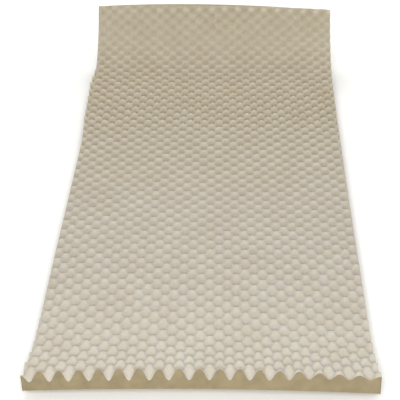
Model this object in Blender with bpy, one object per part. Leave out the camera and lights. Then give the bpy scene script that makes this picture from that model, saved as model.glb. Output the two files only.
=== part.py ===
"""Convoluted ("egg-crate") foam mattress topper, one solid of cut polyurethane foam.

It lies on its flat underside, with both ends still curled up from the roll that it was
stored in: the near end a little, the far end until it almost stands.

Metres, +Z up. +X runs across the topper and +Y along it, towards the far end. The origin
is on the floor, in the middle of the topper's box.
"""

import math
from typing import NamedTuple

import bmesh
import bpy

# The sheet as it was cut, laid out straight.
WIDTH = 0.838               # 33 in
LENGTH = 1.829              # 72 in
THICKNESS = 0.0508          # 2 in, from the underside to the peaks
VALLEY_DEPTH = 0.0295       # from the peaks down to the valley floors
WAVES_ACROSS = 18           # peaks and valleys in one row across the width
WAVES_ALONG = 41            # peaks and valleys in one row along the length

# The layer of the solid base that keeps its length where the foam bends.
NEUTRAL_HEIGHT = 0.014

# Long use has left a shallow hollow where a body lies.
HOLLOW_DEPTH = 0.0088
HOLLOW_CENTRE = 0.812       # from the near end
HOLLOW_HALF_LENGTH = 0.424
HOLLOW_EDGE_SHARE = 0.7     # its depth at the side edges, over that on the centre line

# The underside is smooth, so its mesh needs fewer points than the top.
UNDERSIDE_ROW_STEP = 2
UNDERSIDE_COLUMN_STEP = 4

FOAM_COLOUR = (0.62, 0.56, 0.46, 1.0)
FOAM_ROUGHNESS = 0.95


class Stretch(NamedTuple):
    """One line (no turn) or arc of the topper's side view."""

    length: float
    turn: float             # degrees upwards, on the centre line


# Each end is listed from the floor outwards.
NEAR_END = (
    Stretch(length=0.148, turn=22.9),
    Stretch(length=0.053, turn=0.0),
)
FAR_END = (
    Stretch(length=0.278, turn=3.2),
    Stretch(length=0.347, turn=71.4),
)

# The side edges of an end turn up less than its centre line, by this share.
NEAR_EDGE_EASE = 0.16
FAR_EDGE_EASE = 0.18

# One column and one row are half a wave, from a peak to the valley beside it.
COLUMNS = 2 * WAVES_ACROSS
ROWS = 2 * WAVES_ALONG
FLOOR_START = sum(stretch.length for stretch in NEAR_END)
FLOOR_END = LENGTH - sum(stretch.length for stretch in FAR_END)


def follow(stretches, distance, ease):
    """Run, rise and slope at a distance out along an end's lines and arcs."""
    run = rise = slope = 0.0
    for stretch in stretches:
        step = min(distance, stretch.length)
        turn = math.radians(stretch.turn) * ease * step / stretch.length
        chord = 2 * step / turn * math.sin(turn / 2) if turn else step
        run += chord * math.cos(slope + turn / 2)
        rise += chord * math.sin(slope + turn / 2)
        slope += turn
        distance -= step
    return run, rise, slope


def bent_point(across, along, height):
    """Where a point of the straight sheet lies once its ends have curled up."""
    edge_share = (across / (WIDTH / 2)) ** 2
    if along < FLOOR_START:
        ease = 1 - NEAR_EDGE_EASE * edge_share
        run, rise, slope = follow(NEAR_END, FLOOR_START - along, ease)
        start, outward = FLOOR_START, -1
    else:
        ease = 1 - FAR_EDGE_EASE * edge_share
        run, rise, slope = follow(FAR_END, max(along - FLOOR_END, 0.0), ease)
        start, outward = min(along, FLOOR_END), 1
    lift = height - NEUTRAL_HEIGHT
    y = start + outward * (run - lift * math.sin(slope))
    z = NEUTRAL_HEIGHT + rise + lift * math.cos(slope)
    return across, y, z


def hollow_depth(across, along):
    """How far a body has pressed the peaks down, as one soft wave along the length."""
    offset = abs(along - HOLLOW_CENTRE) / HOLLOW_HALF_LENGTH
    if offset >= 1:
        return 0.0
    edge_share = (across / (WIDTH / 2)) ** 2
    deepest = HOLLOW_DEPTH * (1 - (1 - HOLLOW_EDGE_SHARE) * edge_share)
    return deepest * (1 + math.cos(math.pi * offset)) / 2


def sheet_point(column, row, top):
    """The bent point at a column and row, on the top or on the underside."""
    across = WIDTH * (column / COLUMNS - 0.5)
    along = LENGTH * row / ROWS
    height = 0.0
    if top:
        height = THICKNESS
        if (column + row) % 2:
            height -= VALLEY_DEPTH
        height *= 1 - hollow_depth(across, along) / THICKNESS
    return bent_point(across, along, height)


def add_grid(mesh, row_step, column_step, top):
    """Vertices of one face of the sheet, by column and row."""
    return {
        (column, row): mesh.verts.new(sheet_point(column, row, top))
        for row in range(0, ROWS + 1, row_step)
        for column in range(0, COLUMNS + 1, column_step)
    }


def add_top_faces(mesh, top):
    """Two triangles between each four points, split along the ridge from peak to peak."""
    for row in range(ROWS):
        for column in range(COLUMNS):
            corners = [
                top[column, row],
                top[column + 1, row],
                top[column + 1, row + 1],
                top[column, row + 1],
            ]
            if (column + row) % 2:
                corners.append(corners.pop(0))
            first, second, third, fourth = corners
            mesh.faces.new((first, second, third))
            mesh.faces.new((first, third, fourth))


def add_underside_faces(mesh, under):
    """Two triangles between each four points, facing the floor."""
    for row in range(0, ROWS, UNDERSIDE_ROW_STEP):
        for column in range(0, COLUMNS, UNDERSIDE_COLUMN_STEP):
            next_row = row + UNDERSIDE_ROW_STEP
            next_column = column + UNDERSIDE_COLUMN_STEP
            first = under[column, row]
            third = under[next_column, next_row]
            mesh.faces.new((first, third, under[next_column, row]))
            mesh.faces.new((first, under[column, next_row], third))


def add_wall(mesh, top_edge, under_edge):
    """A cut face: one panel for each step of the underside, up to the waves above it."""
    step = (len(top_edge) - 1) // (len(under_edge) - 1)
    for index in range(len(under_edge) - 1):
        waves = top_edge[index * step:(index + 1) * step + 1]
        mesh.faces.new((under_edge[index], under_edge[index + 1], *reversed(waves)))


def outline(points, row_step, column_step):
    """The four edges of a grid of points, counterclockwise as seen from above."""
    rows = range(0, ROWS + 1, row_step)
    columns = range(0, COLUMNS + 1, column_step)
    near = [points[column, 0] for column in columns]
    right = [points[COLUMNS, row] for row in rows]
    far = [points[column, ROWS] for column in reversed(columns)]
    left = [points[0, row] for row in reversed(rows)]
    return near, right, far, left


def topper_mesh():
    mesh = bmesh.new()
    top = add_grid(mesh, 1, 1, True)
    under = add_grid(mesh, UNDERSIDE_ROW_STEP, UNDERSIDE_COLUMN_STEP, False)
    add_top_faces(mesh, top)
    add_underside_faces(mesh, under)
    top_edges = outline(top, 1, 1)
    under_edges = outline(under, UNDERSIDE_ROW_STEP, UNDERSIDE_COLUMN_STEP)
    for top_edge, under_edge in zip(top_edges, under_edges):
        add_wall(mesh, top_edge, under_edge)
    bmesh.ops.triangulate(mesh, faces=mesh.faces, ngon_method="EAR_CLIP")

    # The origin goes to the middle of the bent topper's length.
    lengthwise = [vertex.co.y for vertex in mesh.verts]
    middle = (min(lengthwise) + max(lengthwise)) / 2
    bmesh.ops.translate(mesh, verts=mesh.verts, vec=(0.0, -middle, 0.0))

    data = bpy.data.meshes.new("foam_topper")
    mesh.to_mesh(data)
    mesh.free()
    return data


def foam_material():
    material = bpy.data.materials.new("polyurethane_foam")
    material.use_nodes = True
    shader = material.node_tree.nodes["Principled BSDF"]
    shader.inputs["Base Color"].default_value = FOAM_COLOUR
    shader.inputs["Roughness"].default_value = FOAM_ROUGHNESS
    shader.inputs["Metallic"].default_value = 0.0
    return material


for leftover in list(bpy.data.objects):
    bpy.data.objects.remove(leftover, do_unlink=True)

topper = bpy.data.objects.new("foam_topper", topper_mesh())
topper.data.materials.append(foam_material())
bpy.context.scene.collection.objects.link(topper)
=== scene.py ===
import math

import bpy
import numpy as np
from mathutils import Matrix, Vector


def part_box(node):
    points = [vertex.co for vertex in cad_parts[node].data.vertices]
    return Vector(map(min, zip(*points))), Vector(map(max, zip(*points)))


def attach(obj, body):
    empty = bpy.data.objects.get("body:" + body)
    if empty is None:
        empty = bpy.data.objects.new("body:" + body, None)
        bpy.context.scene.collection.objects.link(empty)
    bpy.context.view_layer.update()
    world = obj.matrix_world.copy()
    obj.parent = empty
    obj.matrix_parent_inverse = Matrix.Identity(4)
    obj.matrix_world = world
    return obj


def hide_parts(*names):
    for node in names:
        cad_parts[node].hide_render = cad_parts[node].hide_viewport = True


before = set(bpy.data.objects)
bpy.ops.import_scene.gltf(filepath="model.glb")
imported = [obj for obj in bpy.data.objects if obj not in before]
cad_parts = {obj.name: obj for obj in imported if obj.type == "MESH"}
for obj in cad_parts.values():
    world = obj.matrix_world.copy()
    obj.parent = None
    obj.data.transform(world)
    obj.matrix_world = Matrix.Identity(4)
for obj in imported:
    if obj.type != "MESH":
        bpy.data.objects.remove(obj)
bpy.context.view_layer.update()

# ---------------------------------------------------------------------------------------
# The topper. One sheet of open-cell polyurethane foam, 33 x 72 x 2 in. A slab was pressed
# between studded rollers and split by a band knife, which leaves rows of round peaks on
# the top and a smooth underside, and a saw then cut it to size. It has been rolled up.
# ---------------------------------------------------------------------------------------

# The sheet as it was cut, laid out straight, in metres.
WIDTH = 0.838
LENGTH = 1.829
THICKNESS = 0.0508
VALLEY_DEPTH = 0.0295
WAVES_ACROSS = 18
WAVES_ALONG = 41
PEAK_FULLNESS = 1.35        # 1 gives peaks as wide as the valleys, more gives wider peaks
PATTERN_TURN = 0.77         # degrees from the rows of peaks to the sawn ends
CORNER_COLUMN = 0.17        # half waves from a peak to the near left corner, across
CORNER_ROW = 0.13           # and along
NEUTRAL_HEIGHT = 0.014      # the layer of the base that keeps its length in the bends

# The near left corner is rubbed down, most at its point.
CORNER_DROP = 0.008
CORNER_REACH = 0.032

# The shallow hollow where a body has lain. Metres are from the near end here and below.
HOLLOW_DEPTH = 0.0088
HOLLOW_CENTRE = 0.812
HOLLOW_HALF_LENGTH = 0.424
HOLLOW_EDGE_SHARE = 0.7     # its depth at the side edges, over that on the centre line

# Use has left the waves of the middle shallower, and the far end was the tight middle of
# the roll and is still pressed: metres along, and the share of the depth that is lost.
PRESSED = ((0.0, 0.0), (0.04, 0.30), (0.34, 0.38), (1.15, 0.36), (1.30, 0.05), (1.50, 0.25),
           (1.68, 0.50))

# Painted shade: a dark ring round each peak, darkest in the valleys, where shade falls: metres
# along, and how strong it is.
PAINTED_VALLEY_SHADE = ((0.05, 0.05), (0.35, 0.30), (0.90, 0.46), (1.25, 0.60), (1.50, 0.55), (1.68, 0.05))
RING_START = 0.12           # how far below the peaks it begins, as a share of the depth
RING_SOFTNESS = 0.40        # and how much further down it is at its darkest

# The two ends, from the floor outwards: length in metres, and degrees turned upwards.
NEAR_END = ((0.148, 21.3), (0.053, 0.0))
FAR_END = ((0.278, 3.2), (0.347, 69.4))
NEAR_EDGE_EASE = 0.20       # by this share the side edges turn up less than the middle
FAR_EDGE_EASE = 0.15
NEAR_TWIST = 0.105          # this share more at the right edge, and less at the left
FAR_TWIST = -0.045

# How far the two side faces lean in over the sheet, in degrees. At the near end and where
# the far end starts to turn up, the left side is pushed out instead.
# metres along, left, right
SIDE_LEAN = (
    (0.00, -4.0, -1.0),
    (0.04, 0.0, 1.0),
    (0.12, 5.0, 2.0),
    (0.28, 7.0, 4.0),
    (0.60, 8.0, 5.0),
    (1.10, 12.0, 4.0),
    (1.24, 0.0, 3.0),
    (1.47, -6.0, 1.0),
    (1.56, 8.0, 0.0),
    (1.83, 10.0, 0.0),
)
LEAN_REACH = 0.070          # the lean fades out this far from the side

# Foam is soft, so no two peaks are quite alike.
PEAK_SWAY = 0.05            # sideways, in half waves
PEAK_UNEVENNESS = 0.07      # share of the valley depth
ROW_WANDER = 0.10           # slow drift of whole rows, in half waves
WANDER_SPACING = 9          # half waves over which the drift changes
CUT_WAVINESS = 0.0009       # of the sawn faces, in metres
CUT_SPACING = 1.5           # half waves over which the sawn faces swing

# The rows are pulled apart at the near end, and pushed together at the far end: how far
# along, and how far the rows have moved away there, both in half waves.
ROW_STRETCH = ((0.0, 0.0), (8.0, 0.80), (35.0, 0.50), (66.0, 0.50), (82.0, -0.25))

# The mesh: steps between a peak and the valley beside it, and down the sawn faces.
STEPS = 5
FACE_STEPS = 4
UNDERSIDE_STEPS = 2 * STEPS     # steps of the top that one face of the underside spans

COLUMNS = 2 * WAVES_ACROSS
ROWS = 2 * WAVES_ALONG
FLOOR_START = sum(length for length, turn in NEAR_END)
FLOOR_END = LENGTH - sum(length for length, turn in FAR_END)


def lumps(seed, spacing, u, v):
    """Smooth random swings between -1 and 1, a fresh one every so many half waves."""
    draw = np.random.default_rng(seed)
    table = draw.uniform(-1, 1, (int(ROWS / spacing) + 3, int(COLUMNS / spacing) + 3))
    row, row_part = np.divmod(v / spacing + 0.5, 1)
    column, column_part = np.divmod(u / spacing + 0.5, 1)
    row = row.astype(int)
    column = column.astype(int)
    row_part = row_part ** 2 * (3 - 2 * row_part)
    column_part = column_part ** 2 * (3 - 2 * column_part)
    near = table[row, column] * (1 - column_part) + table[row, column + 1] * column_part
    far = table[row + 1, column] * (1 - column_part) + table[row + 1, column + 1] * column_part
    return near * (1 - row_part) + far * row_part


def convolution(u, v):
    """Height of the cut top over the valley floors, from 0 to about 1."""
    wave_shape = (LENGTH / ROWS) / (WIDTH / COLUMNS)
    v = v - np.interp(v, *np.array(ROW_STRETCH).T)
    turn = math.radians(PATTERN_TURN)
    column = CORNER_COLUMN + u * math.cos(turn) + v * math.sin(turn) * wave_shape
    row = CORNER_ROW + v * math.cos(turn) - u * math.sin(turn) / wave_shape
    column = column + PEAK_SWAY * lumps(11, 1, u, v)
    column = column + ROW_WANDER * lumps(12, WANDER_SPACING, u, v)
    row = row + PEAK_SWAY * lumps(13, 1, u, v)
    row = row + ROW_WANDER * lumps(14, WANDER_SPACING, u, v)
    wave = np.cos(np.pi * column) * np.cos(np.pi * row)
    peak = 1 - ((1 - wave) / 2) ** PEAK_FULLNESS
    return peak * (1 + PEAK_UNEVENNESS * lumps(15, 1, u, v))


def hollow_depth(across, along):
    """How far a body has pressed the peaks down, as one soft wave along the length."""
    offset = np.minimum(np.abs(along - HOLLOW_CENTRE) / HOLLOW_HALF_LENGTH, 1)
    edge_share = (across / (WIDTH / 2)) ** 2
    deepest = HOLLOW_DEPTH * (1 - (1 - HOLLOW_EDGE_SHARE) * edge_share)
    return deepest * (1 + np.cos(np.pi * offset)) / 2


def top_height(u, v):
    """Height of the used top over the underside, at columns u and rows v."""
    across = WIDTH * (u / COLUMNS - 0.5)
    along = LENGTH * v / ROWS
    depth = VALLEY_DEPTH * (1 - np.interp(along, *np.array(PRESSED).T))
    height = THICKNESS - depth * (1 - convolution(u, v))
    from_corner = np.hypot(WIDTH / 2 + across, along)
    height = height - CORNER_DROP * np.clip(1 - from_corner / CORNER_REACH, 0, 1) ** 2
    return height * (1 - hollow_depth(across, along) / THICKNESS)


def follow(stretches, distance, ease):
    """Run, rise and slope at a distance out along an end's lines and arcs."""
    run = rise = slope = np.zeros_like(distance)
    for length, turn in stretches:
        step = np.clip(distance, 0, length)
        angle = math.radians(turn) * ease * step / length
        chord = step * np.sinc(angle / (2 * np.pi))
        run = run + chord * np.cos(slope + angle / 2)
        rise = rise + chord * np.sin(slope + angle / 2)
        slope = slope + angle
        distance = distance - step
    return run, rise, slope


def lie_down(u, v, height):
    """Where points of the straight sheet lie in the used topper, curled at both ends."""
    across = WIDTH * (u / COLUMNS - 0.5)
    along = LENGTH * v / ROWS
    side_share = across / (WIDTH / 2)
    near_ease = 1 - NEAR_EDGE_EASE * side_share ** 2 + NEAR_TWIST * side_share
    far_ease = 1 - FAR_EDGE_EASE * side_share ** 2 + FAR_TWIST * side_share

    near = np.maximum(FLOOR_START - along, 0)
    near_run, near_rise, near_slope = follow(NEAR_END, near, near_ease)
    far = np.maximum(along - FLOOR_END, 0)
    far_run, far_rise, far_slope = follow(FAR_END, far, far_ease)

    places, left, right = np.array(SIDE_LEAN).T
    lean = np.where(across < 0, np.interp(along, places, left), np.interp(along, places, right))
    from_side = WIDTH / 2 - np.abs(across)
    fade = np.clip(1 - from_side / LEAN_REACH, 0, 1) ** 2
    shift = np.tan(np.radians(lean)) * height * fade

    lift = height - NEUTRAL_HEIGHT
    x = across - np.sign(across) * shift
    y = np.clip(along, FLOOR_START, FLOOR_END) + far_run - near_run
    y = y - lift * (np.sin(far_slope) - np.sin(near_slope))
    z = NEUTRAL_HEIGHT + near_rise + far_rise + lift * np.cos(near_slope + far_slope)
    return np.stack([x, y, z], axis=-1)


def rim(lines_across, lines_along):
    """Grid places (row, column) once round the sheet, counterclockwise from above."""
    last_row = lines_along - 1
    last_column = lines_across - 1
    near = [(0, column) for column in range(last_column)]
    right = [(row, last_column) for row in range(last_row)]
    far = [(last_row, column) for column in range(last_column, 0, -1)]
    left = [(row, 0) for row in range(last_row, 0, -1)]
    return near + right + far + left


def painted_ring_shade(u, v):
    """How dark the painted shade ring is, from 0 on the peaks to 1 in the darkest valleys."""
    below = np.clip((1 - convolution(u, v) - RING_START) / RING_SOFTNESS, 0, 1)
    strength = np.interp(LENGTH * v / ROWS, *np.array(PAINTED_VALLEY_SHADE).T)
    return below ** 2 * (3 - 2 * below) * strength


def topper_mesh():
    """The whole sheet as one closed mesh, with the painted shade of its valleys."""
    u_lines = np.arange(COLUMNS * STEPS + 1) / STEPS
    v_lines = np.arange(ROWS * STEPS + 1) / STEPS
    u, v = np.meshgrid(u_lines, v_lines)
    top = lie_down(u, v, top_height(u, v))

    # The top, as a grid of four-sided faces.
    lines_along, lines_across = u.shape
    number = np.arange(u.size).reshape(u.shape)
    corners = (number[:-1, :-1], number[:-1, 1:], number[1:, 1:], number[1:, :-1])
    faces = np.stack(corners, axis=-1).reshape(-1, 4).tolist()
    top_faces = len(faces)
    points = [top.reshape(-1, 3)]
    # Painted shade in the valleys, for each point of the top.
    painted_shades = [painted_ring_shade(u, v).reshape(-1)]

    # The sawn faces, as rings from the rim of the top down to the underside.
    rim_places = rim(lines_across, lines_along)
    rim_rows, rim_columns = np.array(rim_places).T
    rim_u = u_lines[rim_columns]
    rim_v = v_lines[rim_rows]
    outward_u = (rim_columns == lines_across - 1) * 1.0 - (rim_columns == 0)
    outward_v = (rim_rows == lines_along - 1) * 1.0 - (rim_rows == 0)
    rim_height = top_height(rim_u, rim_v)
    ring = number[rim_rows, rim_columns]
    total = u.size
    for level in range(1, FACE_STEPS + 1):
        share = 1 - level / FACE_STEPS
        wavy = CUT_WAVINESS * lumps(20 + level, CUT_SPACING, rim_u, rim_v)
        wavy = wavy * (level < FACE_STEPS)
        ring_u = rim_u + outward_u * wavy * COLUMNS / WIDTH
        ring_v = rim_v + outward_v * wavy * ROWS / LENGTH
        points.append(lie_down(ring_u, ring_v, rim_height * share))
        painted_shades.append(np.zeros(len(rim_places)))
        lower = np.arange(total, total + len(rim_places))
        total += len(rim_places)
        around = np.stack((lower, np.roll(lower, -1), np.roll(ring, -1), ring), axis=-1)
        faces += around.tolist()
        ring = lower
    base_ring = dict(zip(rim_places, ring.tolist()))

    # The underside, in wide faces that take in every point of the lowest ring.
    inner = {}
    for row in range(UNDERSIDE_STEPS, lines_along - 1, UNDERSIDE_STEPS):
        for column in range(UNDERSIDE_STEPS, lines_across - 1, UNDERSIDE_STEPS):
            inner[row, column] = total
            total += 1
    inner_rows, inner_columns = np.array(list(inner)).T
    under = lie_down(u_lines[inner_columns], v_lines[inner_rows], np.zeros(len(inner)))
    points.append(under)
    painted_shades.append(np.zeros(len(inner)))
    for row in range(0, lines_along - 1, UNDERSIDE_STEPS):
        for column in range(0, lines_across - 1, UNDERSIDE_STEPS):
            walk = rim(UNDERSIDE_STEPS + 1, UNDERSIDE_STEPS + 1)
            places = [(row + down, column + over) for down, over in reversed(walk)]
            known = (base_ring.get(place, inner.get(place)) for place in places)
            faces.append([point for point in known if point is not None])

    mesh = bpy.data.meshes.new("foam_topper_looks")
    mesh.from_pydata(np.concatenate(points).tolist(), [], faces)
    mesh.polygons.foreach_set("use_smooth", np.ones(len(faces), dtype=bool))
    slots = np.ones(len(faces), dtype=np.int32)
    slots[:top_faces] = 0
    mesh.polygons.foreach_set("material_index", slots)
    # The painted valley shade is stored on the points for the shader.
    valley = mesh.attributes.new("painted_valley_shade", "FLOAT", "POINT")
    valley.data.foreach_set("value", np.concatenate(painted_shades).astype(np.float32))

    # The knife and the saw leave crisp edges where their cuts meet.
    mesh.update()
    cut_edges = {frozenset(pair) for level in (number[rim_rows, rim_columns], ring)
                 for pair in zip(level.tolist(), np.roll(level, -1).tolist())}
    sharp = [frozenset(edge.vertices) in cut_edges for edge in mesh.edges]
    marks = mesh.attributes.new("sharp_edge", "BOOLEAN", "EDGE")
    marks.data.foreach_set("value", sharp)
    mesh.validate()
    return mesh


def linear(hex_colour):
    """An sRGB hex colour as the linear RGBA that Blender's shaders take."""
    channels = [int(hex_colour[start:start + 2], 16) / 255 for start in (1, 3, 5)]
    curve = [c / 12.92 if c <= 0.04045 else ((c + 0.055) / 1.055) ** 2.4 for c in channels]
    return (*curve, 1.0)


def add_node(tree, kind, inputs, **settings):
    """Adds a node; each input takes either a value or another node's output."""
    node = tree.nodes.new(kind)
    for name, value in settings.items():
        setattr(node, name, value)
    for name, value in inputs.items():
        if isinstance(value, bpy.types.NodeSocket):
            tree.links.new(value, node.inputs[name])
        else:
            node.inputs[name].default_value = value
    return node


def foam_shader(name, colour, cell_strength):
    """Open-cell foam: matt, a little fuzzy, and light seeps a few millimetres into it."""
    material = bpy.data.materials.new(name)
    material.use_nodes = True
    tree = material.node_tree
    shader = tree.nodes["Principled BSDF"]
    shader.inputs["Roughness"].default_value = 0.92
    shader.inputs["Specular IOR Level"].default_value = 0.25
    shader.inputs["Sheen Weight"].default_value = 0.12
    shader.inputs["Sheen Roughness"].default_value = 0.6
    shader.inputs["Subsurface Weight"].default_value = 0.5
    shader.inputs["Subsurface Radius"].default_value = (1.0, 0.75, 0.45)
    shader.inputs["Subsurface Scale"].default_value = 0.006

    # Real cells are 0.5 to 1 mm across. They are drawn at 2.5 mm so that they show, and
    # are broken up by a 6 mm grain.
    place = add_node(tree, "ShaderNodeTexCoord", {})
    cells = add_node(tree, "ShaderNodeTexVoronoi",
                     {"Vector": place.outputs["Object"], "Scale": 1 / 0.0025, "Randomness": 1.0})
    grain = add_node(tree, "ShaderNodeTexNoise",
                     {"Vector": place.outputs["Object"], "Scale": 1 / 0.00625, "Detail": 4.0})
    pores = add_node(tree, "ShaderNodeMath",
                     {0: cells.outputs["Distance"], 1: grain.outputs["Fac"]}, operation="MULTIPLY")
    bump = add_node(tree, "ShaderNodeBump",
                    {"Height": pores.outputs["Value"], "Strength": cell_strength, "Distance": 0.001})
    tree.links.new(bump.outputs["Normal"], shader.inputs["Normal"])
    tree.links.new(colour(tree, place), shader.inputs["Base Color"])
    return material


def knife_cut_colour(tree, place):
    """Cream on the peaks, in patches of about 70 mm, with painted shade darkening the valleys,
    and a little yellower towards the far end."""
    valley = add_node(tree, "ShaderNodeAttribute", {}, attribute_name="painted_valley_shade")
    mottle = add_node(tree, "ShaderNodeTexNoise",
                      {"Vector": place.outputs["Object"], "Scale": 14.0, "Detail": 3.0})
    crest = add_node(tree, "ShaderNodeMix",
                     {"Factor": mottle.outputs["Fac"],
                      "A": linear("#bfbbb0"), "B": linear("#b3aa9a")}, data_type="RGBA")
    # Painted shade: the valleys are mixed towards a darker grey-brown (#958c80).
    foam = add_node(tree, "ShaderNodeMix",
                    {"Factor": valley.outputs["Fac"],
                     "A": crest.outputs["Result"], "B": linear("#958c80")}, data_type="RGBA")
    axes = add_node(tree, "ShaderNodeSeparateXYZ", {"Vector": place.outputs["Object"]})
    far = add_node(tree, "ShaderNodeMapRange",
                   {"Value": axes.outputs["Y"], "From Min": -0.3, "From Max": 0.5})
    yellowed = add_node(tree, "ShaderNodeMix",
                        {"Factor": far.outputs["Result"], "A": foam.outputs["Result"],
                         "B": linear("#fffbef")}, data_type="RGBA", blend_type="MULTIPLY")
    return yellowed.outputs["Result"]


def saw_cut_colour_and_shade(tree, place):
    """The sawn faces have been in the air longest, and have turned a dull yellow, in patches
    of about 20 mm. Their colour is also made darker, as painted shade."""
    streaks = add_node(tree, "ShaderNodeTexNoise",
                       {"Vector": place.outputs["Object"], "Scale": 45.0, "Detail": 4.0})
    # Painted shade: both colours are darker than the yellowed foam's own tone.
    yellowed_and_shaded = add_node(tree, "ShaderNodeMix",
                     {"Factor": streaks.outputs["Fac"],
                      "A": linear("#756a4e"), "B": linear("#988a6c")}, data_type="RGBA")
    return yellowed_and_shaded.outputs["Result"]


topper = bpy.data.objects.new("convoluted_foam_sheet", topper_mesh())
bpy.context.scene.collection.objects.link(topper)
topper.data.materials.append(foam_shader("convolute_cut_foam", knife_cut_colour, 0.35))
topper.data.materials.append(foam_shader("saw_cut_foam", saw_cut_colour_and_shade, 0.5))

# The bent sheet goes where the frame's solid lies, matched at the near end.
near_edge = min(vertex.co.y for vertex in topper.data.vertices)
solid_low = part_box("foam_topper")[0]
topper.data.transform(Matrix.Translation((0.0, solid_low[1] - near_edge, 0.0)))

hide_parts("foam_topper")
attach(topper, "root")

# ---------------------------------------------------------------------------------------
# The floor. Matt white background paper, laid flat and wide enough to fill the view. The
# topper lies loose on it.
# ---------------------------------------------------------------------------------------

FLOOR_SIZE = 14.0
floor_mesh = bpy.data.meshes.new("floor")
half = FLOOR_SIZE / 2
floor_corners = [(-half, -half, 0), (half, -half, 0), (half, half, 0), (-half, half, 0)]
floor_mesh.from_pydata(floor_corners, [], [(0, 1, 2, 3)])
floor = bpy.data.objects.new("floor", floor_mesh)
bpy.context.scene.collection.objects.link(floor)
paper = bpy.data.materials.new("white_paper")
paper.use_nodes = True
paper_shader = paper.node_tree.nodes["Principled BSDF"]
paper_shader.inputs["Base Color"].default_value = linear("#f4f4f2")
paper_shader.inputs["Roughness"].default_value = 0.9
floor_mesh.materials.append(paper)

# ---------------------------------------------------------------------------------------
# The light. A bright white studio, with one softbox low in front of the topper, so that the
# peaks are outlined by the dark slopes behind them, and a weaker one overhead. A third
# faces down and away behind the topper, to keep the far floor white.
# ---------------------------------------------------------------------------------------

STUDIO_STRENGTH = 0.47
#     name                  metres  watts  place             tilt from straight down
SOFTBOXES = (
    ("front_softbox", 1.2, 73.0, (0.0, -2.8, 1.85), 58.0),
    ("top_softbox", 2.0, 17.0, (0.0, 0.0, 2.6), 0.0),
    ("background_softbox", 1.6, 40.0, (0.0, 2.5, 1.8), -10.0),
)

world = bpy.data.worlds.new("white_studio")
bpy.context.scene.world = world
world.use_nodes = True
world.node_tree.nodes["Background"].inputs["Color"].default_value = linear("#ffffff")
world.node_tree.nodes["Background"].inputs["Strength"].default_value = STUDIO_STRENGTH

for name, size, watts, place, tilt in SOFTBOXES:
    light = bpy.data.lights.new(name, "AREA")
    light.shape = "SQUARE"
    light.size = size
    light.energy = watts
    softbox = bpy.data.objects.new(name, light)
    softbox.location = place
    softbox.rotation_euler = (math.radians(tilt), 0.0, 0.0)
    bpy.context.scene.collection.objects.link(softbox)

# ---------------------------------------------------------------------------------------
# The camera. A person's eye height, a little right of the middle of the topper's near end
# and looking down its length, through a long lens.
# ---------------------------------------------------------------------------------------

LENS = 94.3
CAMERA_HEIGHT = 1.817
CAMERA_ASIDE = 0.053
CAMERA_BEHIND = 1.743       # in front of the near end, laid straight
CAMERA_PITCH = 35.155
CAMERA_TURN = 1.73
CAMERA_ROLL = -0.2

camera_data = bpy.data.cameras.new("camera")
camera_data.lens = LENS
camera = bpy.data.objects.new("camera", camera_data)
bpy.context.scene.collection.objects.link(camera)
shift_to_frame = solid_low[1] - near_edge
camera.matrix_world = (
    Matrix.Translation((CAMERA_ASIDE, shift_to_frame - CAMERA_BEHIND, CAMERA_HEIGHT))
    @ Matrix.Rotation(math.radians(CAMERA_TURN), 4, "Z")
    @ Matrix.Rotation(math.radians(90 - CAMERA_PITCH), 4, "X")
    @ Matrix.Rotation(math.radians(CAMERA_ROLL), 4, "Z")
)
bpy.context.scene.camera = camera
bpy.context.scene.view_settings.view_transform = "Standard"
